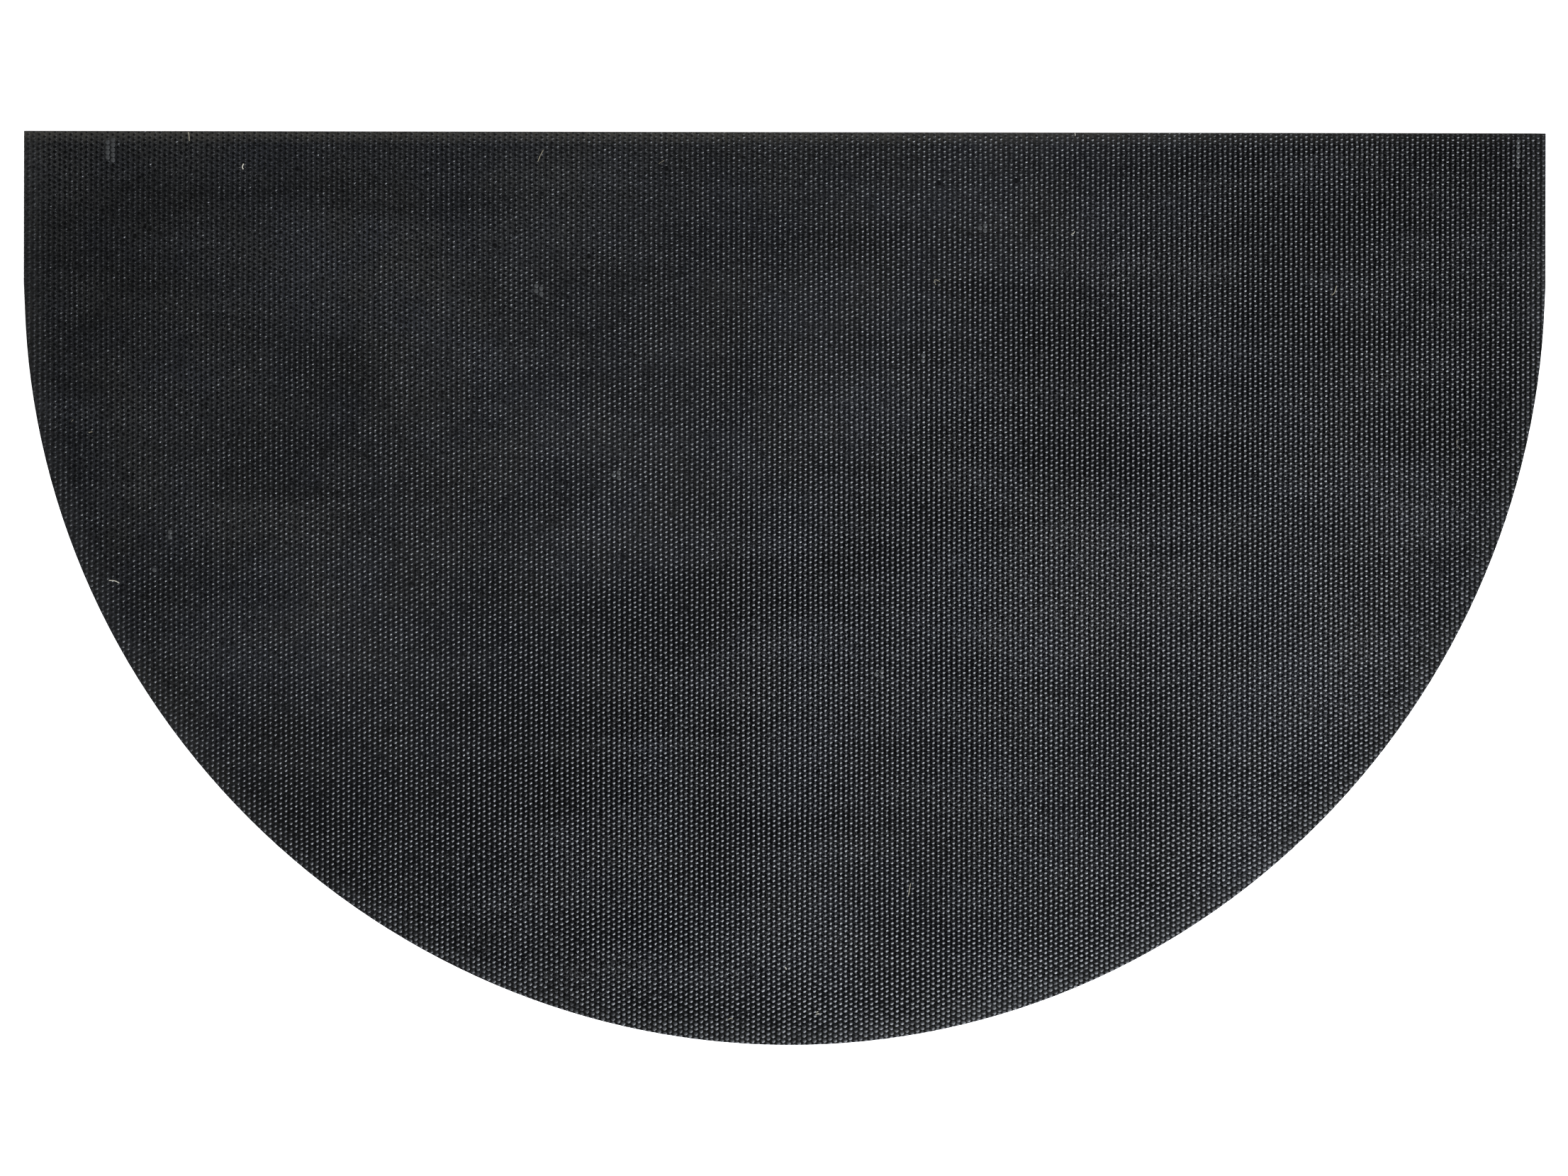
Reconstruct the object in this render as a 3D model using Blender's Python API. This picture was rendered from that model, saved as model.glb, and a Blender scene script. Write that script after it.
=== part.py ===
"""Half-round coir doormat, lying coir side down with its moulded backing up.

Units are metres and +Z is up. The origin is the middle of the mat's box, on the surface that the
pile tips touch. +Y points to the straight edge, and +Z out of the backing.
"""
from math import cos, radians, sin

import bmesh
import bpy

# Driving dimensions of the mat
WIDTH = 0.750
DEPTH = 0.450
THICKNESS = 0.015
BACKING_THICKNESS = 0.0023
CLEARANCE = 0.0003

# The rim is a straight cut at the door, a short straight cut down each side, and one long arc
SIDE_LENGTH = 0.075
ARC_STEPS = 120
ARC_CENTRE_X = 0.0005
ARC_RADIUS = 0.3742

# A hand knife cut the arc, so its radius wanders by about a millimetre, in slow waves
WANDER = 0.0010
WANDER_WAVES = 3.5
WANDER_PEAK = radians(79)


def clear_scene():
    for thing in list(bpy.data.objects):
        bpy.data.objects.remove(thing, do_unlink=True)


def arc_radius(turn):
    """How far the cut is from the arc's centre, turn radians down from its right end."""
    return ARC_RADIUS + WANDER * cos(WANDER_WAVES * (turn - WANDER_PEAK))


def arc_points():
    """The arc from its right end, through the crown at the front, to its left end."""
    centre_y = DEPTH / 2 - SIDE_LENGTH
    points = []
    for step in range(1, ARC_STEPS):
        turn = radians(180.0 * step / ARC_STEPS)
        radius = arc_radius(turn)
        points.append((ARC_CENTRE_X + radius * cos(turn), centre_y - radius * sin(turn)))
    return points


def rim_points():
    """The whole rim, clockwise as seen from above, starting at the right-hand corner."""
    half_width = WIDTH / 2
    edge_y = DEPTH / 2
    arc_y = edge_y - SIDE_LENGTH
    right = [(half_width, edge_y), (half_width, arc_y)]
    left = [(-half_width, arc_y), (-half_width, edge_y)]
    return right + arc_points() + left


def slab(name, bottom, top, material):
    """A closed solid with the mat's rim, between two heights."""
    mesh = bmesh.new()
    rim = [mesh.verts.new((x, y, bottom)) for x, y in rim_points()]
    floor_face = mesh.faces.new(rim)
    lifted = bmesh.ops.extrude_face_region(mesh, geom=[floor_face], use_keep_orig=True)
    raised = [item for item in lifted["geom"] if isinstance(item, bmesh.types.BMVert)]
    bmesh.ops.translate(mesh, verts=raised, vec=(0.0, 0.0, top - bottom))
    bmesh.ops.recalc_face_normals(mesh, faces=mesh.faces)
    data = bpy.data.meshes.new(name)
    mesh.to_mesh(data)
    mesh.free()
    data.materials.append(material)
    solid = bpy.data.objects.new(name, data)
    bpy.context.scene.collection.objects.link(solid)
    return solid


def finish(name, colour, roughness):
    """A plain non-metal material."""
    material = bpy.data.materials.new(name)
    material.use_nodes = True
    shader = material.node_tree.nodes["Principled BSDF"]
    shader.inputs["Base Color"].default_value = (*colour, 1.0)
    shader.inputs["Roughness"].default_value = roughness
    shader.inputs["Metallic"].default_value = 0.0
    return material


def coir_pile():
    """The brush of coconut fibre. Its bristles are cut level, so as a whole it is a flat slab."""
    pile_top = THICKNESS - BACKING_THICKNESS - CLEARANCE
    return slab("coir_pile", 0.0, pile_top, finish("coir", (0.36, 0.21, 0.09), 0.95))


def backing():
    """The black vinyl sheet that the bristles are set in, up to the tops of its moulded studs."""
    sheet_bottom = THICKNESS - BACKING_THICKNESS
    return slab("backing", sheet_bottom, THICKNESS, finish("vinyl", (0.022, 0.023, 0.025), 0.45))


def main():
    clear_scene()
    coir_pile()
    backing()


main()
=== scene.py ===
# %% [markdown]
# # A half-round coir doormat, back up
# A coir mat is a brush of coconut fibre set in a sheet of black vinyl. This one lies on its bristles, so
# what shows is the vinyl with its thousands of small moulded studs. The lesson sets up the camera, the
# light and the floor and mixes the finishes. Then it builds the sheet, the studs, the brush under them
# and the few fibres that fell on top.
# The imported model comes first, because every piece takes its size and place from it.

# %% Load the fixed frame
from math import exp, hypot, pi, radians
from random import Random

import bmesh
import bpy
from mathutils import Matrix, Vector, noise
from mathutils.kdtree import KDTree


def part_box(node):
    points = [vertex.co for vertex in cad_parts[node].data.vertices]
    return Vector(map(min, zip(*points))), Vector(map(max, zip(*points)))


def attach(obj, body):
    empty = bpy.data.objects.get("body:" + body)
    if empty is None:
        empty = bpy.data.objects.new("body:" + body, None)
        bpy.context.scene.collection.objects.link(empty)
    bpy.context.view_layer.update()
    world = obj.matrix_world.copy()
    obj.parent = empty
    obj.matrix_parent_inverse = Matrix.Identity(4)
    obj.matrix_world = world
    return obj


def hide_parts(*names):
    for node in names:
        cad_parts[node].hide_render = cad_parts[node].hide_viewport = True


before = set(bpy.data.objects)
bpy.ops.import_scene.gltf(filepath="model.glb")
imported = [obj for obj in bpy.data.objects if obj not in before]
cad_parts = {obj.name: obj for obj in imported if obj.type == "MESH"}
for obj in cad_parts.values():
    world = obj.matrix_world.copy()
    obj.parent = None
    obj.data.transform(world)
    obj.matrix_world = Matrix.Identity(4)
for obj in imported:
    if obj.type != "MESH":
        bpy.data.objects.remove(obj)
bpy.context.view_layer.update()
MM = 0.001
sheet_low, sheet_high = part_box("backing")
pile_low, pile_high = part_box("coir_pile")
print("backing from", round(sheet_low.z / MM, 1), "to", round(sheet_high.z / MM, 1), "mm")
print("pile from", round(pile_low.z / MM, 1), "to", round(pile_high.z / MM, 1), "mm")

# %% [markdown]
# ## Camera
# The photo looks straight down on the mat. Its scale is known from the mat's own width, so the lens and
# the distance only have to agree with it. A longish lens is chosen, as a studio would, and the distance
# follows. The mat lies a tenth of a degree off the picture's axes, so the camera is rolled by that much.

# %% Set the camera
PHOTO_WIDTH = 2212
PHOTO_PIXEL = 0.34922 * MM
LENS = 85 * MM
SENSOR = 36 * MM
CAMERA_X, CAMERA_Y = -0.07 * MM, 0.30 * MM
CAMERA_ROLL = radians(0.096)

camera_data = bpy.data.cameras.new("camera")
camera_data.lens = LENS / MM
camera_data.sensor_width = SENSOR / MM
camera_data.clip_end = 50
camera = bpy.data.objects.new("camera", camera_data)
bpy.context.scene.collection.objects.link(camera)
camera_distance = PHOTO_WIDTH * PHOTO_PIXEL * LENS / SENSOR
camera.location = (CAMERA_X, CAMERA_Y, sheet_high.z + camera_distance)
camera.rotation_euler = (0, 0, CAMERA_ROLL)
bpy.context.scene.camera = camera
print("camera", round(camera_distance, 3), "m above the backing")

# %% [markdown]
# ## Helpers
# Each piece is drawn as a bmesh. One helper makes it an object with its material, at the origin, so that
# patterns on object coordinates stay put. Another lets it ride on the mat's body and counts its triangles.
# A third copies a imported solid. Its triangles are loose there, so they are joined into whole faces.

# %% Make a piece from a bmesh
def make_piece(name, mesh, material, smooth=True):
    data = bpy.data.meshes.new(name)
    mesh.to_mesh(data)
    mesh.free()
    data.materials.append(material)
    if smooth:
        data.shade_smooth()
    else:
        data.shade_flat()
    piece = bpy.data.objects.new(name, data)
    bpy.context.scene.collection.objects.link(piece)
    return piece


def dress(piece):
    """The piece moves with the mat, and its points and triangles are printed."""
    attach(piece, "root")
    piece.data.calc_loop_triangles()
    print(piece.name, len(piece.data.vertices), "points,", len(piece.data.loop_triangles), "triangles")


def welded_copy(node):
    """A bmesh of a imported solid, with its loose triangles joined into whole faces."""
    mesh = bmesh.new()
    mesh.from_mesh(bpy.data.objects[node].data)
    bmesh.ops.remove_doubles(mesh, verts=mesh.verts, dist=0.01 * MM)
    bmesh.ops.dissolve_limit(mesh, angle_limit=radians(0.3), verts=mesh.verts, edges=mesh.edges)
    return mesh


# %% [markdown]
# ## The rim
# The knife went through sheet and brush together, so both share one outline. It is read from the
# packed backing: the corners of its top face, in order.

# %% Read the rim
def top_face(mesh):
    return max(mesh.faces, key=lambda face: (round(face.calc_center_median().z, 5), face.calc_area()))


rim_mesh = welded_copy("backing")
rim = [Vector((corner.co.x, corner.co.y)) for corner in top_face(rim_mesh).verts]
MAT_AREA = top_face(rim_mesh).calc_area()
rim_mesh.free()
print("rim", len(rim), "corners, area", round(MAT_AREA, 4), "square metres")

# %% [markdown]
# The studs and the tips of the bristles have to know how far inside the rim a place is. A search tree
# over close points along the rim finds the nearest one, and the direction out of the mat there gives the
# distance with its sign.

# %% Find the rim from any place
RIM_STEP = 0.5 * MM


def along_rim(step):
    """Points every step along the rim, each with the direction that points out of the mat."""
    turn = sum(a.x * b.y - b.x * a.y for a, b in zip(rim, rim[1:] + rim[:1]))
    points, left_over = [], 0.0
    for start, end in zip(rim, rim[1:] + rim[:1]):
        side = end - start
        length = side.length
        heading = side / length
        outward = Vector((heading.y, -heading.x)) * (1 if turn > 0 else -1)
        at = left_over
        while at < length:
            points.append((start + heading * at, outward))
            at += step
        left_over = at - length
    return points


rim_samples = along_rim(RIM_STEP)
rim_tree = KDTree(len(rim_samples))
for index, (point, outward) in enumerate(rim_samples):
    rim_tree.insert((point.x, point.y, 0), index)
rim_tree.balance()


def near_rim(x, y):
    """How far a point lies inside the rim, negative outside, and which way is out."""
    near, index, distance = rim_tree.find((x, y, 0))
    outward = rim_samples[index][1]
    return -((x - near.x) * outward.x + (y - near.y) * outward.y), outward


def inside_by(x, y):
    return near_rim(x, y)[0]


print("rim", round(len(rim_samples) * RIM_STEP / MM), "mm round")
print("the middle of the mat lies", round(inside_by(0, 0) / MM), "mm inside it")

# %% [markdown]
# ## Light
# The picture is a plain product shot: a white ground with no visible shadow, and a glint on nearly
# every stud. A large soft box in front, a little to the right, gives those. A dim one behind only lifts
# the far sides of the studs. Both stand high, so that seen from low down the flat vinyl mirrors neither
# of them.

# %% Hang the soft boxes
def soft_box(name, place, width, height, power, colour):
    """A rectangular lamp that points at the middle of the mat."""
    data = bpy.data.lights.new(name, "AREA")
    data.shape = "RECTANGLE"
    data.size, data.size_y = width, height
    data.energy = power
    data.color = colour
    light = bpy.data.objects.new(name, data)
    light.location = place
    light.rotation_euler = (-Vector(place)).to_track_quat("-Z", "Y").to_euler()
    bpy.context.scene.collection.objects.link(light)
    print(name, width, "x", height, "m,", power, "W")


soft_box("box_front", (1.16, -2.49, 4.24), 2.94, 1.82, 390, (0.865, 0.92, 1.0))
soft_box("box_back", (0.59, 2.30, 3.59), 2.10, 0.91, 22, (0.89, 0.94, 1.0))

# %% [markdown]
# ## Sky
# The flat vinyl between the studs mirrors the sky overhead and looks black in the photo, so the sky is
# dim there. It is brighter low down and towards the front and back walls, which gives the slopes of the
# studs something to mirror. Two ramps set that, and the brighter of them counts.

# %% Set the sky
SKY_BY_HEIGHT = ((0.0, 0.16), (0.28, 0.12), (0.60, 0.03), (1.0, 0.03))
SKY_FRONT_TO_BACK = ((0.0, 0.16), (0.10, 0.12), (0.30, 0.03), (0.70, 0.03), (0.90, 0.12), (1.0, 0.16))
SKY_BLUE = 1.03


def sky():
    world = bpy.data.worlds.new("sky")
    bpy.context.scene.world = world
    world.use_nodes = True
    nodes, links = world.node_tree.nodes, world.node_tree.links
    coordinates = nodes.new("ShaderNodeTexCoord")
    split = nodes.new("ShaderNodeSeparateXYZ")
    links.new(coordinates.outputs["Generated"], split.inputs[0])
    across = nodes.new("ShaderNodeMapRange")
    across.inputs["From Min"].default_value = -1
    links.new(split.outputs["Y"], across.inputs["Value"])
    brighter = nodes.new("ShaderNodeMix")
    brighter.data_type = "RGBA"
    brighter.blend_type = "LIGHTEN"
    brighter.inputs[0].default_value = 1
    for source, stops, socket in ((split.outputs["Z"], SKY_BY_HEIGHT, 6),
                                  (across.outputs[0], SKY_FRONT_TO_BACK, 7)):
        ramp = nodes.new("ShaderNodeValToRGB")
        row = ramp.color_ramp.elements
        while len(row) < len(stops):
            row.new(0.5)
        for element, (position, level) in zip(row, stops):
            element.position = position
            element.color = (level, level, level * SKY_BLUE, 1)
        links.new(source, ramp.inputs[0])
        links.new(ramp.outputs[0], brighter.inputs[socket])
    links.new(brighter.outputs[2], nodes["Background"].inputs["Color"])


sky()
bpy.context.scene.view_settings.view_transform = "Standard"
print("sky", SKY_BY_HEIGHT[-1][1], "overhead,", SKY_BY_HEIGHT[0][1], "at the horizon")

# %% [markdown]
# ## Floor
# The ground glows white by itself, so that no shadow and no end of it shows. It lies a tenth of a
# millimetre below the mat.

# %% Lay the floor
FLOOR_SIZE = 40.0
FLOOR_DROP = 0.1 * MM
floor_material = bpy.data.materials.new("floor")
floor_material.use_nodes = True
floor_shader = floor_material.node_tree.nodes["Principled BSDF"]
floor_shader.inputs["Base Color"].default_value = (0.92, 0.92, 0.92, 1)
floor_shader.inputs["Roughness"].default_value = 0.9
floor_shader.inputs["Specular IOR Level"].default_value = 0.1
floor_shader.inputs["Emission Color"].default_value = (1, 1, 1, 1)
floor_shader.inputs["Emission Strength"].default_value = 1.0
floor_mesh = bmesh.new()
bmesh.ops.create_grid(floor_mesh, x_segments=1, y_segments=1, size=FLOOR_SIZE / 2)
bmesh.ops.translate(floor_mesh, verts=floor_mesh.verts, vec=(0, 0, pile_low.z - FLOOR_DROP))
floor = make_piece("floor", floor_mesh, floor_material, smooth=False)
print("floor", FLOOR_SIZE, "m wide")

# %% [markdown]
# ## Materials
# Both finishes are made of patterns on object coordinates. A small kit keeps each recipe short: most of
# its helpers add one node and hand back what comes out of it.

# %% Node helpers
class Finish:
    """A Principled material that is built up node by node."""

    def __init__(self, name, **constants):
        self.material = bpy.data.materials.new(name)
        self.material.use_nodes = True
        self.nodes = self.material.node_tree.nodes
        self.links = self.material.node_tree.links
        self.shader = self.nodes["Principled BSDF"]
        for socket, value in constants.items():
            self.shader.inputs[socket.replace("_", " ")].default_value = value
        self.place = self.nodes.new("ShaderNodeTexCoord").outputs["Object"]

    def mapped(self, scale, turn):
        """Places on the mat, first scaled and then turned."""
        node = self.nodes.new("ShaderNodeMapping")
        node.inputs["Scale"].default_value = scale
        node.inputs["Rotation"].default_value = turn
        self.links.new(self.place, node.inputs["Vector"])
        return node.outputs[0]

    def noise(self, size, detail=2.0, roughness=0.5, distortion=0.0, where=None):
        """Noise whose features are about size metres across."""
        node = self.nodes.new("ShaderNodeTexNoise")
        node.inputs["Scale"].default_value = 1 / size
        node.inputs["Detail"].default_value = detail
        node.inputs["Roughness"].default_value = roughness
        node.inputs["Distortion"].default_value = distortion
        self.links.new(where or self.place, node.inputs["Vector"])
        return node.outputs["Fac"]

    def axes(self):
        node = self.nodes.new("ShaderNodeSeparateXYZ")
        self.links.new(self.place, node.inputs[0])
        return node.outputs[0], node.outputs[1], node.outputs[2]

    def attribute(self, name):
        node = self.nodes.new("ShaderNodeAttribute")
        node.attribute_name = name
        return node.outputs["Fac"]

    def spread(self, value, low, high, to_low=0.0, to_high=1.0):
        """A value between low and high moved to between to_low and to_high, held past the ends."""
        node = self.nodes.new("ShaderNodeMapRange")
        self.links.new(value, node.inputs["Value"])
        ends = {"From Min": low, "From Max": high, "To Min": to_low, "To Max": to_high}
        for socket, number in ends.items():
            node.inputs[socket].default_value = number
        return node.outputs[0]

    def calculate(self, operation, a, b):
        """One bit of arithmetic. Each of a and b is a plain number or what another node gives."""
        node = self.nodes.new("ShaderNodeMath")
        node.operation = operation
        for socket, value in zip(node.inputs, (a, b)):
            if isinstance(value, (int, float)):
                socket.default_value = value
            else:
                self.links.new(value, socket)
        return node.outputs[0]

    def add(self, a, b):
        return self.calculate("ADD", a, b)

    def times(self, a, b):
        return self.calculate("MULTIPLY", a, b)

    def larger(self, a, b):
        return self.calculate("MAXIMUM", a, b)

    def ramp(self, value, *stops):
        """Colours along a value, given as (position, (r, g, b))."""
        node = self.nodes.new("ShaderNodeValToRGB")
        row = node.color_ramp.elements
        while len(row) < len(stops):
            row.new(0.5)
        for element, (position, colour) in zip(row, stops):
            element.position = position
            element.color = (*colour, 1)
        self.links.new(value, node.inputs[0])
        return node.outputs[0]

    def blend(self, amount, first, second):
        node = self.nodes.new("ShaderNodeMix")
        node.data_type = "RGBA"
        self.links.new(amount, node.inputs[0])
        for socket, value in ((node.inputs[6], first), (node.inputs[7], second)):
            if isinstance(value, tuple):
                socket.default_value = (*value, 1)
            else:
                self.links.new(value, socket)
        return node.outputs[2]

    def bump(self, height, depth):
        node = self.nodes.new("ShaderNodeBump")
        node.inputs["Strength"].default_value = 1
        node.inputs["Distance"].default_value = depth
        self.links.new(height, node.inputs["Height"])
        self.links.new(node.outputs[0], self.shader.inputs["Normal"])

    def feed(self, socket, value):
        self.links.new(value, self.shader.inputs[socket])


# %% [markdown]
# ### Black vinyl
# The vinyl is nearly black and half glossy, and what tells one part of it from another is mostly dust,
# with some painted sheen mixed in.
# So the recipe goes in that order: where dust lies, what is different by the cuts, then the colour and
# the gloss. The sheet and the studs are separate pieces, and patterns on object coordinates run on from
# one to the other. The recipe has to know where the studs stand, so their measures come first.

# %% Measure the studs and the curved cut
STUD_HEIGHT = 0.48 * MM
STUD_FOOT = sheet_high.z - STUD_HEIGHT
COLUMN_PITCH = 2.540 * MM
COLUMN_TIGHTENING = 8.2e-5
ARC_CENTRE_X, ARC_CENTRE_Y = 0.5 * MM, 150 * MM
ARC_RADIUS = 374.2 * MM
print("studs from", round(STUD_FOOT / MM, 2), "to", round(sheet_high.z / MM, 2), "mm")

# %% [markdown]
# Dust lies in slow clouds and in long soft strokes along the mat, where it was wiped. At the upper left
# it has sunk in as a net between the studs. Towards the lower right it shows as specks. There a narrow
# lighter strip also runs down each column, a little right of the column's middle, through the glints:
# that strip is painted sheen that links them.

# %% Say where dust lies
CLOUD_SIZE, STROKE_SIZE = 90 * MM, 30 * MM
CRUMB_SIZE, SPECK_SIZE = 1.3 * MM, 0.8 * MM
# Heights above the foot of the studs at which the net of dust ends, and below which it is full
NET_ENDS, NET_FULL = 0.115 * MM, 0.050 * MM
# In columns: how far right of its column a strip of painted sheen lies, and how far from it the sheen ends
# and is full
STRIP_OFFSET, STRIP_ENDS, STRIP_FULL = 0.12, 0.14, 0.02


def clouds_and_strokes(finish):
    """Slow changes in the dust. The strokes are noise that is stretched along the mat."""
    clouds = finish.noise(CLOUD_SIZE, detail=5, roughness=0.6)
    # The turn comes after the stretching, so it only picks another part of the same long strokes
    stretched = finish.mapped(scale=(0.25, 1.4, 1), turn=(0, 0, radians(-35)))
    strokes = finish.noise(STROKE_SIZE, detail=4, roughness=0.55, distortion=0.4, where=stretched)
    return finish.spread(finish.add(clouds, strokes), 0.80, 1.25, 0.45, 1.05)


def upper_left_share(finish, x, y):
    """0 in the middle and at the lower right, rising to 1 at the upper left."""
    slanted = finish.add(x, finish.times(y, -1.1))
    return finish.spread(slanted, 0.0, -0.35)


def dust_net(finish, z, crumbs):
    """Dust on the sheet and on the feet of the studs, with crumbly gaps."""
    low_down = finish.spread(z, STUD_FOOT + NET_ENDS, STUD_FOOT + NET_FULL)
    return finish.times(finish.spread(crumbs, 0.35, 0.6, 0.2, 1), low_down)


def sheen_strips(finish, x, crumbs):
    """Painted sheen in a narrow strip down each column, through the glints. The column of a place is
    column_x worked backwards.
    """
    steps = finish.calculate("DIVIDE", x, COLUMN_PITCH)
    tightened = finish.times(finish.times(steps, steps), COLUMN_TIGHTENING)
    column = finish.add(finish.add(steps, tightened), -STRIP_OFFSET)
    from_strip = finish.calculate("PINGPONG", column, 0.5)
    in_strip = finish.spread(from_strip, STRIP_ENDS, STRIP_FULL)
    return finish.times(finish.spread(crumbs, 0.4, 0.65, 0, 0.7), in_strip)


def dust_and_sheen(finish, x, z, upper_left):
    """How much grey lies at a point, from dust and from the painted sheen strips, from 0 for none to about
    1.
    """
    patches = clouds_and_strokes(finish)
    crumbs = finish.noise(CRUMB_SIZE, detail=3, roughness=0.7)
    net = finish.times(dust_net(finish, z, crumbs), upper_left)
    specks = finish.spread(finish.noise(SPECK_SIZE, detail=3, roughness=0.75), 0.50, 0.66, 0, 0.8)
    # The strips are painted sheen; the specks are dust
    spotted = finish.larger(sheen_strips(finish, x, crumbs), specks)
    spotted = finish.times(spotted, finish.spread(upper_left, 1.0, 0.0))
    spotted = finish.times(spotted, finish.spread(patches, 0.5, 1.0, 0.55, 1.25))
    return finish.times(finish.larger(net, spotted), patches)


# %% [markdown]
# Pale dust has settled along the straight cut, less towards its right end, and a little of it by the
# curved cut. The grey is darker in a band inside the curved cut, but for the upper ends.

# %% Say what is different by the cuts
# How far inside the cut each effect ends and is full, and how strong two of them are
STRAIGHT_ENDS, STRAIGHT_FULL = 6.5 * MM, 1.5 * MM
CURVED_ENDS, CURVED_FULL = 12 * MM, 1 * MM
# Where the grey is darker, in a band inside the curved cut
DARKER_BAND_ENDS, DARKER_BAND_FULL = 45 * MM, 8 * MM
DARKER_BAND_GREY = 0.78
CURVED_DUST = 0.12


def by_straight_cut(finish, x, y):
    """1 at the straight cut and 0 a few millimetres inside it, weaker towards the right."""
    close = finish.spread(y, sheet_high.y - STRAIGHT_ENDS, sheet_high.y - STRAIGHT_FULL)
    return finish.times(close, finish.spread(x, 0.05, 0.30, 1.0, 0.3))


def reach_from_middle(finish, x, y):
    """The distance from the arc's centre or, beside the straight sides, from the middle line."""
    ahead = finish.calculate("MINIMUM", finish.add(y, -ARC_CENTRE_Y), 0)
    aside = finish.add(x, -ARC_CENTRE_X)
    squares = finish.add(finish.times(ahead, ahead), finish.times(aside, aside))
    return finish.calculate("POWER", squares, 0.5)


def by_curved_cut(finish, reach):
    """1 at the curved cut and at the sides above it, and 0 from some millimetres inside them."""
    return finish.spread(reach, ARC_RADIUS - CURVED_ENDS, ARC_RADIUS - CURVED_FULL)


def grey_share_by_arc(finish, reach, y):
    """A factor on the grey, which is less than 1 in a darker band by the curved cut."""
    in_band = finish.spread(reach, ARC_RADIUS - DARKER_BAND_ENDS, ARC_RADIUS - DARKER_BAND_FULL, 1.0, DARKER_BAND_GREY)
    return finish.larger(in_band, finish.spread(y, 50 * MM, 150 * MM))


# %% [markdown]
# The colour is black vinyl under grey dust. The grey is darker at the upper left and lighter towards the
# lower right, where it is partly painted sheen, and it wavers slowly between warm and cool. Every stud
# carries a tone: 0 to 1 for most, 2 on a spot of dust, and less than 0 where a stud hardly came up;
# there it is painted black as the shade of a pit.

# %% Mix the colour of the vinyl
CLEAN_VINYL = (0.0008, 0.0008, 0.0009)
# Painted shade of a pit, blacker than the clean vinyl
PIT_PAINTED_SHADE = (0.0003, 0.0003, 0.0003)
SPOT_DUST = (0.046, 0.046, 0.044)
RIM_DUST = (0.0400, 0.0364, 0.0300)
UPPER_LEFT_DUST = (0.38, (0.0296, 0.0287, 0.0270)), (0.64, (0.0269, 0.0274, 0.0299))
# The lighter grey towards the lower right is partly painted sheen
LOWER_RIGHT_DUST_AND_SHEEN = (0.38, (0.0600, 0.0572, 0.0556)), (0.64, (0.0558, 0.0564, 0.0634))
HUE_SIZE, SETTLED_SIZE = 28 * MM, 2 * MM
# Heights above the foot of the studs at which the pale dust thins out, and below which it is full
SETTLED_ENDS, SETTLED_FULL = 0.21 * MM, 0.085 * MM


def vinyl_colour(finish, z, tone, upper_left, dust_and_sheen_share, by_cuts):
    hue = finish.noise(HUE_SIZE, detail=3)
    upper_left_grey = finish.ramp(hue, *UPPER_LEFT_DUST)
    lower_right_grey_and_sheen = finish.ramp(hue, *LOWER_RIGHT_DUST_AND_SHEEN)
    grey = finish.blend(upper_left, lower_right_grey_and_sheen, upper_left_grey)
    colour = finish.blend(dust_and_sheen_share, CLEAN_VINYL, grey)
    low_down = finish.spread(z, STUD_FOOT + SETTLED_ENDS, STUD_FOOT + SETTLED_FULL, 0.1, 1)
    crumbly = finish.spread(finish.noise(SETTLED_SIZE, detail=4), 0.35, 0.6, 0.4, 1)
    settled = finish.times(finish.times(low_down, crumbly), by_cuts)
    colour = finish.blend(settled, colour, RIM_DUST)
    colour = finish.blend(finish.spread(tone, 1, 2, 0, 0.9), colour, SPOT_DUST)
    # Where a stud hardly came up, the shade of a pit is painted black
    return finish.blend(finish.spread(tone, 0, -1), colour, PIT_PAINTED_SHADE)


# %% [markdown]
# Each stud mirrors the large soft box, and the gloss sets how broad and how bright that glint is. The
# studs are duller than the sheet between them, most of all by the curved cut, and a little duller at the
# upper left than at the lower right. A fine grain breaks up each glint.

# %% Set the gloss and make the vinyl
SHEET_ROUGHNESS = 0.12
# How much duller the studs are at the lower right, at the upper left, and once more by the curved cut
LOWER_RIGHT_DULLER, UPPER_LEFT_DULLER, CURVED_DULLER = 0.09, 0.12, 0.12
STUD_SIDE = 0.07 * MM
GRAIN_SIZE, GRAIN_DEPTH = 0.5 * MM, 0.05 * MM


def vinyl_roughness(finish, z, tone, upper_left, curved, grain):
    on_stud = finish.spread(z, STUD_FOOT, STUD_FOOT + STUD_SIDE)
    duller = finish.spread(upper_left, 0, 1, LOWER_RIGHT_DULLER, UPPER_LEFT_DULLER)
    duller = finish.add(duller, finish.times(curved, CURVED_DULLER))
    rough = finish.add(finish.times(duller, on_stud), SHEET_ROUGHNESS)
    rough = finish.add(rough, finish.spread(grain, 0.3, 0.7, 0, 0.05))
    return finish.add(rough, finish.spread(tone, 0, 1, -0.02, 0.04))


def vinyl_finish():
    finish = Finish("vinyl", Specular_IOR_Level=0.42)
    x, y, z = finish.axes()
    tone = finish.attribute("tone")
    upper_left = upper_left_share(finish, x, y)
    reach = reach_from_middle(finish, x, y)
    curved = by_curved_cut(finish, reach)
    by_cuts = finish.larger(by_straight_cut(finish, x, y), finish.times(curved, CURVED_DUST))
    dust_and_sheen_share = finish.times(dust_and_sheen(finish, x, z, upper_left), grey_share_by_arc(finish, reach, y))
    grain = finish.noise(GRAIN_SIZE, detail=2)
    finish.feed("Base Color", vinyl_colour(finish, z, tone, upper_left, dust_and_sheen_share, by_cuts))
    finish.feed("Roughness", vinyl_roughness(finish, z, tone, upper_left, curved, grain))
    finish.bump(finish.times(grain, finish.spread(upper_left, 0, 1, 1, 0.4)), GRAIN_DEPTH)
    return finish.material


vinyl = vinyl_finish()
print("vinyl", len(vinyl.node_tree.nodes), "nodes")

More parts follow.
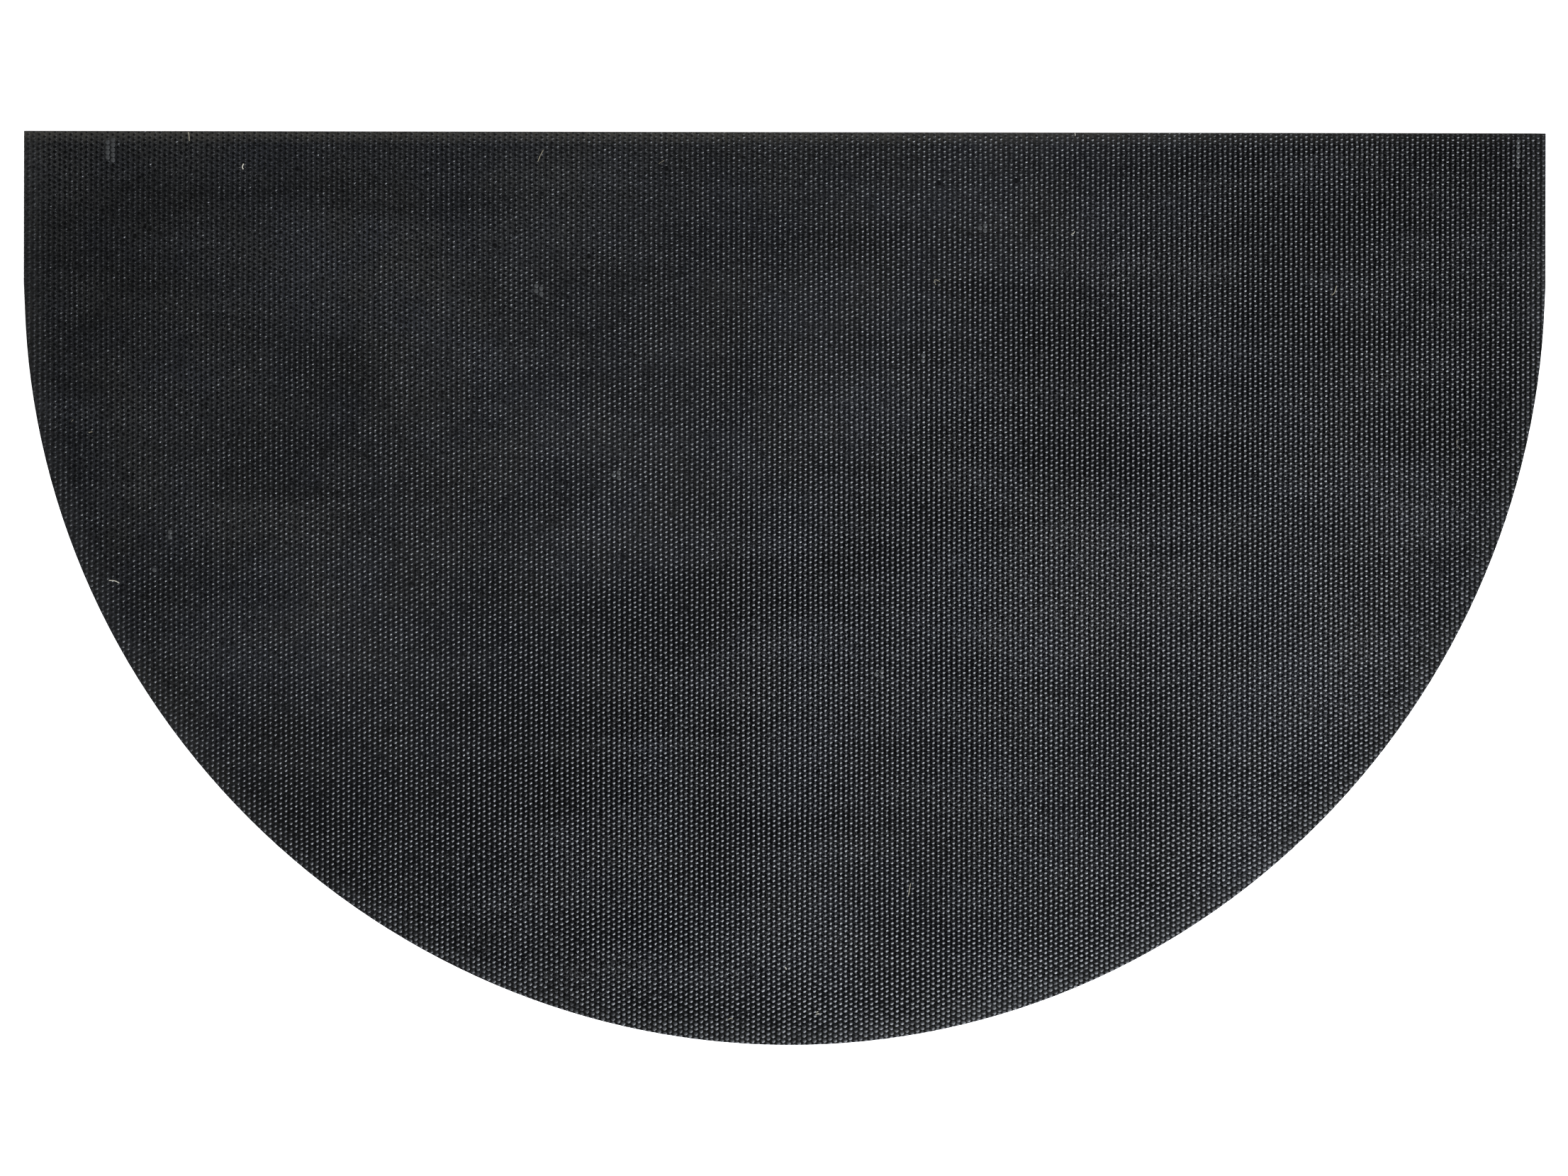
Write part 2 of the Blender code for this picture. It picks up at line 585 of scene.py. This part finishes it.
# %% [markdown]
# ### Coconut fibre
# Coir runs from dark brown roots to golden tips, and no two fibres match. A tone stored on each fibre
# picks its colour, and noise along it does the rest. The fibres that were shed are bleached, so they
# have a paler recipe.

# %% Make the coir
def coir_finish(name, dark, middle, pale):
    finish = Finish(name, Roughness=0.78, Specular_IOR_Level=0.3)
    flecks = finish.noise(1.2 * MM, detail=3)
    tone = finish.add(finish.attribute("tone"), finish.spread(flecks, 0.3, 0.7, -0.2, 0.2))
    finish.feed("Base Color", finish.ramp(tone, (0.05, dark), (0.5, middle), (0.95, pale)))
    finish.bump(finish.noise(0.35 * MM, detail=1), 0.05 * MM)
    return finish.material


coir = coir_finish("coir", (0.060, 0.028, 0.010), (0.300, 0.165, 0.062), (0.520, 0.350, 0.170))
pale_coir = coir_finish("pale_coir", (0.070, 0.064, 0.055), (0.300, 0.260, 0.180), (0.560, 0.520, 0.430))
print("coir", len(coir.node_tree.nodes), "nodes")

# %% [markdown]
# ## Many small things from one
# Bristles and studs come in tens of thousands. Each kind is one small template, and a short geometry
# nodes tree sets a copy on every point of a cloud, sized and turned by what is stored on the point. The
# copies are then made real, so the piece is a plain mesh.

# %% Scatter a template over points
def template(name, mesh):
    """A shape to copy. It isn't part of the mat, so it stays out of the scene."""
    data = bpy.data.meshes.new(name)
    mesh.to_mesh(data)
    mesh.free()
    data.shade_smooth()
    return bpy.data.objects.new(name, data)


def cloud(points):
    """A mesh of loose points. Each point is (place, size, turn, tone)."""
    mesh = bmesh.new()
    size_layer = mesh.verts.layers.float_vector.new("size")
    turn_layer = mesh.verts.layers.float_vector.new("turn")
    tone_layer = mesh.verts.layers.float.new("tone")
    for place, size, turn, tone in points:
        vert = mesh.verts.new(place)
        vert[size_layer] = size
        vert[turn_layer] = turn
        vert[tone_layer] = tone
    return mesh


def stored_vector(tree, name):
    node = tree.nodes.new("GeometryNodeInputNamedAttribute")
    node.data_type = "FLOAT_VECTOR"
    node.inputs["Name"].default_value = name
    return node.outputs["Attribute"]


def scatter_tree(shape):
    tree = bpy.data.node_groups.new("scatter_" + shape.name, "GeometryNodeTree")
    tree.interface.new_socket("Geometry", in_out="INPUT", socket_type="NodeSocketGeometry")
    tree.interface.new_socket("Geometry", in_out="OUTPUT", socket_type="NodeSocketGeometry")
    start, end = tree.nodes.new("NodeGroupInput"), tree.nodes.new("NodeGroupOutput")
    copy = tree.nodes.new("GeometryNodeObjectInfo")
    copy.inputs["Object"].default_value = shape
    copy.inputs["As Instance"].default_value = True
    place = tree.nodes.new("GeometryNodeInstanceOnPoints")
    real = tree.nodes.new("GeometryNodeRealizeInstances")
    tree.links.new(start.outputs[0], place.inputs["Points"])
    tree.links.new(copy.outputs["Geometry"], place.inputs["Instance"])
    tree.links.new(stored_vector(tree, "turn"), place.inputs["Rotation"])
    tree.links.new(stored_vector(tree, "size"), place.inputs["Scale"])
    tree.links.new(place.outputs[0], real.inputs[0])
    tree.links.new(real.outputs[0], end.inputs[0])
    return tree


def scattered(name, points, shape, material):
    """One plain mesh with a copy of the shape on every point."""
    carrier = make_piece(name + "_points", cloud(points), material)
    carrier.modifiers.new("scatter", "NODES").node_group = scatter_tree(shape)
    evaluated = carrier.evaluated_get(bpy.context.evaluated_depsgraph_get())
    data = bpy.data.meshes.new_from_object(evaluated)
    data.name = name
    for leftover in ("size", "turn"):
        if leftover in data.attributes:
            data.attributes.remove(data.attributes[leftover])
    data.materials.clear()
    data.materials.append(material)
    data.shade_smooth()
    bpy.data.objects.remove(carrier)
    piece = bpy.data.objects.new(name, data)
    bpy.context.scene.collection.objects.link(piece)
    return piece


# %% [markdown]
# ## The moulded sheet
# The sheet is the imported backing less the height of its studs. The knife leaves a crisp edge, so the
# top corner gets only a hair's breadth of bevel to catch the light.

# %% Make the sheet
EDGE_BEVEL = 0.12 * MM
FLAT_ANGLE = radians(15)


def make_sheet():
    mesh = welded_copy("backing")
    top = [vert for vert in mesh.verts if vert.co.z > sheet_high.z - 0.1 * MM]
    bmesh.ops.translate(mesh, verts=top, vec=(0, 0, -STUD_HEIGHT))
    corner = list(top_face(mesh).edges)
    bmesh.ops.bevel(mesh, geom=corner, offset=EDGE_BEVEL, segments=2, profile=0.5,
                    affect="EDGES", material=-1)
    piece = make_piece("backing_sheet", mesh, vinyl)
    piece.data.set_sharp_from_angle(angle=FLAT_ANGLE)
    return piece


sheet = make_sheet()
dress(sheet)
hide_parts("backing")

# %% [markdown]
# ## The studs
# The studs stand in columns, each column half a step off the last. The moulding belt was pulled tighter
# towards the right, so the columns close up a little. Towards the upper left, and by the curved cut, the
# belt pressed less deep, and the studs there glint less. Low in the middle they glint most.

# %% Say how deep the belt pressed
PRESSED_LEAST = 0.72
DEEPER_LOWER_RIGHT = 0.25
DEEPER_LOW_MIDDLE = 0.20
SHALLOWER_BY_ARC = 0.38
ARC_BAND, ARC_BAND_SOFTNESS = 38 * MM, 12 * MM
LOW_MIDDLE_X, LOW_MIDDLE_Y, LOW_MIDDLE_SIZE = 90 * MM, -130 * MM, 90 * MM
SLOW_PATCH, QUICK_PATCH = 20 * MM, 6 * MM


def soft_step(past, width):
    """From 0 well before a line to 1 well past it. Most of the change takes four widths."""
    return 1 / (1 + exp(-past / width))


def patchiness(x, y):
    """Unevenness in the relief, some of it slow and some of it quick."""
    slow = noise.noise((x / SLOW_PATCH, y / SLOW_PATCH, 0))
    quick = noise.noise((x / QUICK_PATCH, y / QUICK_PATCH, 5))
    return 0.07 * slow + 0.06 * quick


def relief(x, y):
    """How high the studs stand at a place, in parts of STUD_HEIGHT."""
    lower_right = x - 0.6 * y + 0.02
    rise = soft_step(lower_right, 0.10)
    from_low_middle = hypot(x - LOW_MIDDLE_X, y - LOW_MIDDLE_Y) / LOW_MIDDLE_SIZE
    low_middle = exp(-from_low_middle ** 2)
    inside_arc = ARC_RADIUS - hypot(x - ARC_CENTRE_X, min(y - ARC_CENTRE_Y, 0))
    by_arc = soft_step(ARC_BAND - inside_arc, ARC_BAND_SOFTNESS)
    by_arc *= soft_step(lower_right + 0.04, 0.04)
    by_arc *= 1 - 0.75 * soft_step(y - 80 * MM, 20 * MM)
    pressed = PRESSED_LEAST + DEEPER_LOWER_RIGHT * rise
    pressed += DEEPER_LOW_MIDDLE * low_middle - SHALLOWER_BY_ARC * by_arc
    return pressed + patchiness(x, y) * (1 + 0.9 * rise)


for name, x, y in (("upper left", -0.3, 0.15), ("middle", 0, 0), ("low in the middle", 0.09, -0.13)):
    print("relief", name, round(relief(x, y), 2))

# %% [markdown]
# The pits among the studs and the loose fibres are set one by one, where the photo shows them. They
# were read as pixels of the photo, and this finds the place on the mat under such a pixel. It
# starts from the pixel that lies over the middle of the mat.

# %% Find a pixel of the photo on the mat
MIDDLE_PIXEL_X, MIDDLE_PIXEL_Y = 1106.2, 830.4


def on_the_mat(pixel_x, pixel_y):
    """The place under a pixel of the photo, in millimetres from the middle of the mat."""
    x = (pixel_x - MIDDLE_PIXEL_X) * PHOTO_PIXEL / MM
    y = (MIDDLE_PIXEL_Y - pixel_y) * PHOTO_PIXEL / MM
    return round(x, 1), round(y, 1)


print("the photo's upper left corner lies at", on_the_mat(0, 0), "mm")

# %% [markdown]
# A few studs carry a spot of dust or a scuff, and a few hardly came up, so that a small pit is left,
# whose shade is painted black. Both are set where the photo shows them, as ovals.

# %% Mark the spots and the pits
# x, y, half width and half height in millimetres, from the middle of the mat
SPOTS = ((-332.4, 216, 1.8, 8.5), (-311, 9, 2.2, 2.2), (-302.5, 26, 2.2, 2.2),
         (-121, 147, 2.8, 2.2), (-82.5, 56, 2.2, 2.2), (98, 178, 2.4, 2.4),
         (362, 215, 1.6, 7.5), (68, 114, 2.0, 2.0), (47, -42, 2.0, 2.0))
# The pixel at the middle of the pit, and its half width and half height in millimetres
PIT_PIXELS = ((826, 359, 1.5, 1.5), (1430, 254, 1.5, 1.5), (415, 237, 1.5, 1.5),
              (697, 345, 1.5, 1.5), (937, 237, 1.5, 1.5), (205, 322, 2.2, 1.5),
              (225, 330, 1.5, 1.5), (190, 334, 1.5, 1.5), (1325, 256, 1.5, 1.5))
PITS = [(*on_the_mat(x, y), wide, tall) for x, y, wide, tall in PIT_PIXELS]
SPOT_TONE = 2
PIT_TONE = -0.7
PIT_STUD = 0.35


def marked(marks, x, y):
    """Whether a stud stands in one of the marks."""
    return any(((x / MM - a) / wide) ** 2 + ((y / MM - b) / tall) ** 2 < 1 for a, b, wide, tall in marks)


print(len(SPOTS), "spots and", len(PITS), "pits")

# %% [markdown]
# Every stud gets a point in the cloud. Its place, its lean and its height vary a little at random, as
# they do on a moulded sheet. One in twenty-five came nearer to STUD_HEIGHT than those around it. The
# studs by the rim are kept apart, because the knife flattened some and cut others.

# %% Set out the studs
ROW_PITCH = 2.475 * MM
ROW_TIGHTENING = 0.022
ROWS = int(sheet_high.y / ROW_PITCH) + 6
COLUMNS = int(sheet_high.x / COLUMN_PITCH) + 5
STUD_RADIUS = 1.18 * MM
STUD_SHAKE = 0.03 * MM
STUD_LEAN = 0.028
STUD_UNEVENNESS = 0.075
NEARER_SHARE = 0.04
RIM_FLATTENING = 3.0 * MM


def column_x(column):
    return COLUMN_PITCH * column * (1 - COLUMN_TIGHTENING * column)


def row_y(row, x):
    return ROW_PITCH * row * (1 - ROW_TIGHTENING * x)


def stud_points(first_column, last_column, seed):
    """The studs that stand clear of the rim, and those that the knife came near or cut."""
    chance = Random(seed)
    clear, cut = [], []
    for column in range(first_column, last_column):
        x = column_x(column)
        for row in range(-ROWS, ROWS + 1):
            y = row_y(row + 0.5 * (column % 2), x)
            pressed = relief(x, y)
            shake_x, shake_y = chance.gauss(0, STUD_SHAKE), chance.gauss(0, STUD_SHAKE)
            lean_x, lean_y = chance.gauss(0, STUD_LEAN), chance.gauss(0, STUD_LEAN)
            grown, tone = chance.gauss(1, STUD_UNEVENNESS), chance.random()
            if chance.random() < NEARER_SHARE:
                grown *= 1 + (1 / pressed - 1) * chance.uniform(0.2, 1.0)
            inside = inside_by(x, y)
            if inside < -0.5 * STUD_RADIUS:
                continue
            if marked(PITS, x, y):
                grown, tone = PIT_STUD, PIT_TONE
            if marked(SPOTS, x, y):
                tone = SPOT_TONE
            flattened = min(1.0, 0.75 + 0.25 * max(inside, 0) / RIM_FLATTENING)
            place = (x + shake_x, y + shake_y, STUD_FOOT)
            size = (1, 1, pressed * grown * flattened)
            turn = (lean_x, lean_y, chance.uniform(0, pi))
            group = clear if inside > STUD_RADIUS else cut
            group.append((place, size, turn, tone))
    return clear, cut


left_clear, left_cut = stud_points(-COLUMNS, 0, 11)
right_clear, right_cut = stud_points(0, COLUMNS, 12)
print(len(left_clear) + len(right_clear), "studs, and", len(left_cut) + len(right_cut), "by the rim")

# %% [markdown]
# One stud is an eight-sided point, shaded smooth. That turns the light as a small dome does, with few
# faces. The studs by the rim are then trimmed to it, as the knife left them.

# %% Mould the studs
RIM_MARGIN = 0.05 * MM


def stud_template():
    mesh = bmesh.new()
    bmesh.ops.create_cone(mesh, cap_ends=False, segments=8, radius1=STUD_RADIUS, radius2=0,
                          depth=STUD_HEIGHT)
    bmesh.ops.translate(mesh, verts=mesh.verts, vec=(0, 0, STUD_HEIGHT / 2))
    return template("stud", mesh)


def trim(piece):
    """Push whatever stands out past the rim back to it. A corner has two sides, so this is done twice."""
    for vert in piece.data.vertices:
        for side in range(2):
            inside, outward = near_rim(vert.co.x, vert.co.y)
            if inside < RIM_MARGIN:
                vert.co.x += outward.x * (inside - RIM_MARGIN)
                vert.co.y += outward.y * (inside - RIM_MARGIN)


stud = stud_template()
studs = [
    scattered("studs_left", left_clear, stud, vinyl),
    scattered("studs_right", right_clear, stud, vinyl),
    scattered("studs_rim", left_cut + right_cut, stud, vinyl),
]
trim(studs[2])
for piece in studs:
    dress(piece)

# %% [markdown]
# ## The brush
# Behind the rim the brush is far too dense to see through. A core fills it, painted dark as the shade
# inside the dense brush, and real bristles stand only where they can be seen: three rows round the rim,
# and the tips underneath. The core is the packed pile, drawn in from the rim and lifted off the floor.

# %% Make the core
CORE_INSET = 1.6 * MM
CORE_LIFT = 2.0 * MM
# The core's dark tone is painted shade of the dense brush
CORE_SHADE_TONE = 0.15


def make_core():
    mesh = welded_copy("coir_pile")
    width, depth = pile_high.x - pile_low.x, pile_high.y - pile_low.y
    shrink = (1 - 2 * CORE_INSET / width, 1 - 2 * CORE_INSET / depth, 1)
    bmesh.ops.scale(mesh, verts=mesh.verts, vec=shrink)
    lower = [vert for vert in mesh.verts if vert.co.z < pile_low.z + 1 * MM]
    bmesh.ops.translate(mesh, verts=lower, vec=(0, 0, CORE_LIFT))
    tone_layer = mesh.verts.layers.float.new("tone")
    for vert in mesh.verts:
        vert[tone_layer] = CORE_SHADE_TONE
    piece = make_piece("coir_core", mesh, coir)
    piece.data.set_sharp_from_angle(angle=FLAT_ANGLE)
    return piece


core = make_core()
dress(core)
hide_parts("coir_pile")

# %% [markdown]
# A real bristle is round and bent. Here it has three sides and one bow, which is enough for something
# under half a millimetre thick, and keeps thousands of them light. They hang from the sheet in three
# rows, each a little looser than the one outside it.

# %% Set the bristles round the rim
BRISTLE_RADIUS = 0.19 * MM
# In radii of the bristle
BRISTLE_BOW = 1.2
# How far inside the rim a row stands, and how far apart its bristles are, in millimetres
BRISTLE_ROWS = ((0.25, 0.50), (0.75, 0.55), (1.25, 0.60))


def bristle_template():
    """A fibre one unit long that hangs down from the origin and bows a little to one side."""
    mesh = bmesh.new()
    bmesh.ops.create_cone(mesh, cap_ends=False, segments=3, radius1=0.35, radius2=1, depth=1)
    bmesh.ops.translate(mesh, verts=mesh.verts, vec=(0, 0, -0.5))
    middle = bmesh.ops.bisect_plane(mesh, geom=mesh.verts[:] + mesh.edges[:] + mesh.faces[:],
                                    plane_co=(0, 0, -0.55), plane_no=(0, 0, 1))["geom_cut"]
    bent = [item for item in middle if isinstance(item, bmesh.types.BMVert)]
    bmesh.ops.translate(mesh, verts=bent, vec=(BRISTLE_BOW, 0, 0))
    return template("bristle", mesh)


def rim_bristles(seed):
    chance = Random(seed)
    points = []
    length = sheet_low.z - pile_low.z
    for depth, spacing in BRISTLE_ROWS:
        for place, outward in along_rim(spacing * MM):
            inset = (depth + chance.gauss(0, 0.08)) * MM
            along = chance.gauss(0, 0.15) * MM
            x = place.x - outward.x * inset - outward.y * along
            y = place.y - outward.y * inset + outward.x * along
            thick = BRISTLE_RADIUS * chance.uniform(0.7, 1.25)
            tall = length * chance.uniform(0.90, 0.985)
            lean = (chance.gauss(0, 0.05), chance.gauss(0, 0.05), chance.uniform(0, 2 * pi))
            root = (x, y, sheet_low.z + 0.05 * MM)
            points.append((root, (thick, thick, tall), lean, chance.gauss(0.5, 0.2)))
    return points


rim_brush = scattered("coir_rim", rim_bristles(21), bristle_template(), coir)
dress(rim_brush)

# %% [markdown]
# Seen from below the brush is a field of cut tips. Each is a spike that hangs point down out of the
# core, leaning as it likes, and the dark core shows between them as shade.

# %% Set the tips underneath
TIP_PITCH = 2.35 * MM
TIP_RADIUS = 0.42 * MM
TIP_LENGTH = 4.2 * MM
TIP_INSET = 2.4 * MM


def tip_template():
    """A three-sided spike one unit long that hangs down from the origin."""
    mesh = bmesh.new()
    bmesh.ops.create_cone(mesh, cap_ends=False, segments=3, radius1=0, radius2=1, depth=1)
    bmesh.ops.translate(mesh, verts=mesh.verts, vec=(0, 0, -0.5))
    return template("tip", mesh)


def tip_points(seed):
    chance = Random(seed)
    points = []
    rows = int(pile_high.y / TIP_PITCH)
    column = pile_low.x
    while column < pile_high.x:
        for row in range(-rows, rows + 1):
            x = column + chance.uniform(-0.5, 0.5) * TIP_PITCH
            y = (row + chance.uniform(-0.5, 0.5)) * TIP_PITCH
            lean = (chance.gauss(0, 0.30), chance.gauss(0, 0.30), chance.uniform(0, 2 * pi))
            thick, tall = TIP_RADIUS * chance.uniform(0.6, 1.2), TIP_LENGTH * chance.uniform(0.75, 0.93)
            tone = chance.gauss(0.6, 0.22)
            if inside_by(x, y) > TIP_INSET:
                points.append(((x, y, pile_low.z + TIP_LENGTH), (thick, thick, tall), lean, tone))
        column += TIP_PITCH
    return points


tips = scattered("coir_tips", tip_points(31), tip_template(), coir)
dress(tips)

# %% [markdown]
# ## Loose fibres
# A few fibres and hairs have shed onto the back. They are laid one by one, where the photo shows them.
# Each is a thin tube: a small ring, pushed out along the fibre's path and turned at every step.

# %% Lay the paths of the loose fibres
# Half width in millimetres, tone, and the path's corners as pixels of the photo
LOOSE_FIBRES = (
    (0.20, 0.50, (264.5, 187.5), (265.6, 192.5), (266.0, 200.3)),
    (0.33, 0.90, (342.5, 232.5), (340.6, 236.5), (342.1, 240.0)),
    (0.20, 0.45, (765.5, 211.9), (761.0, 220.4), (757.6, 228.1)),
    (0.20, 0.20, (936.4, 226.1), (932.6, 228.2), (928.3, 231.1)),
    (0.19, 0.65, (1285.3, 1245.9), (1283.6, 1254.6), (1282.4, 1263.4)),
    (0.24, 1.00, (1108.4, 1364.1), (1110.6, 1367.9)),
    (0.20, 0.80, (1151.5, 1431.0), (1157.0, 1429.8)),
    (0.18, 0.80, (1152.0, 1428.0), (1155.5, 1427.0)),
    (0.20, 0.60, (1027.8, 1438.8), (1030.8, 1436.6), (1034.6, 1437.2)),
    (0.20, 0.55, (1884.5, 401.8), (1883.2, 408.0), (1881.4, 413.0), (1877.6, 414.9)),
    (0.20, 0.75, (1510.1, 330.1), (1513.9, 328.3), (1515.0, 325.5)),
    (0.18, 0.20, (2058.0, 618.1), (2053.6, 620.6), (2054.9, 626.3), (2059.3, 631.9)),
    (0.22, 0.95, (1515.4, 187.3), (1515.6, 191.0)),
    (0.20, 0.45, (124.5, 612.0), (130.1, 610.5)),
    (0.18, 0.20, (100.0, 596.6), (102.8, 593.5)),
    (0.24, 0.85, (153.8, 820.0), (161.3, 820.4), (168.5, 823.8)),
    (0.17, 0.35, (1324.9, 397.0), (1319.9, 393.9), (1317.4, 394.5), (1317.4, 397.9), (1319.6, 401.6)),
)


def rounded(path):
    """The path with its corners cut twice, so that it bends softly."""
    for times in range(2):
        between = [a.lerp(b, t) for a, b in zip(path, path[1:]) for t in (0.25, 0.75)]
        path = [path[0], *between, path[-1]]
    return path


def on_the_studs(corner, radius):
    """A corner of a path, at the height at which a fibre of this radius rests on the studs."""
    right, back = on_the_mat(*corner)
    x, y = right * MM, back * MM
    return Vector((x, y, sheet_high.z - STUD_HEIGHT * (1 - relief(x, y)) + 0.7 * radius))


print(len(LOOSE_FIBRES), "loose fibres")

# %% Make the loose fibres
FIBRE_SIDES = 5
FIBRE_SHARP_ANGLE = radians(80)


def add_fibre(mesh, tone_layer, radius, tone, corners):
    path = rounded([on_the_studs(corner, radius) for corner in corners])
    ways = [(b - a).normalized() for a, b in zip(path, path[1:])]
    way = ways[0]
    ring = bmesh.ops.create_circle(mesh, cap_ends=True, segments=FIBRE_SIDES, radius=radius)["verts"]
    bmesh.ops.rotate(mesh, verts=ring, matrix=way.to_track_quat("Z", "Y").to_matrix())
    bmesh.ops.translate(mesh, verts=ring, vec=path[0])
    whole = list(ring)
    edges = list(ring[0].link_faces[0].edges)
    for start, end, heading in zip(path, path[1:], ways):
        turned = way.rotation_difference(heading).to_matrix()
        bmesh.ops.rotate(mesh, cent=start, verts=ring, matrix=turned)
        pushed = bmesh.ops.extrude_edge_only(mesh, edges=edges)["geom"]
        ring = [item for item in pushed if isinstance(item, bmesh.types.BMVert)]
        edges = [item for item in pushed if isinstance(item, bmesh.types.BMEdge)
                 and item.verts[0] in ring and item.verts[1] in ring]
        bmesh.ops.translate(mesh, verts=ring, vec=end - start)
        whole += ring
        way = heading
    bmesh.ops.holes_fill(mesh, edges=edges)
    for vert in whole:
        vert[tone_layer] = tone


def make_loose_fibres():
    mesh = bmesh.new()
    tone_layer = mesh.verts.layers.float.new("tone")
    for radius, tone, *corners in LOOSE_FIBRES:
        add_fibre(mesh, tone_layer, radius * MM, tone, corners)
    bmesh.ops.recalc_face_normals(mesh, faces=mesh.faces)
    piece = make_piece("loose_fibres", mesh, pale_coir)
    piece.data.set_sharp_from_angle(angle=FIBRE_SHARP_ANGLE)
    return piece


loose_fibres = make_loose_fibres()
dress(loose_fibres)
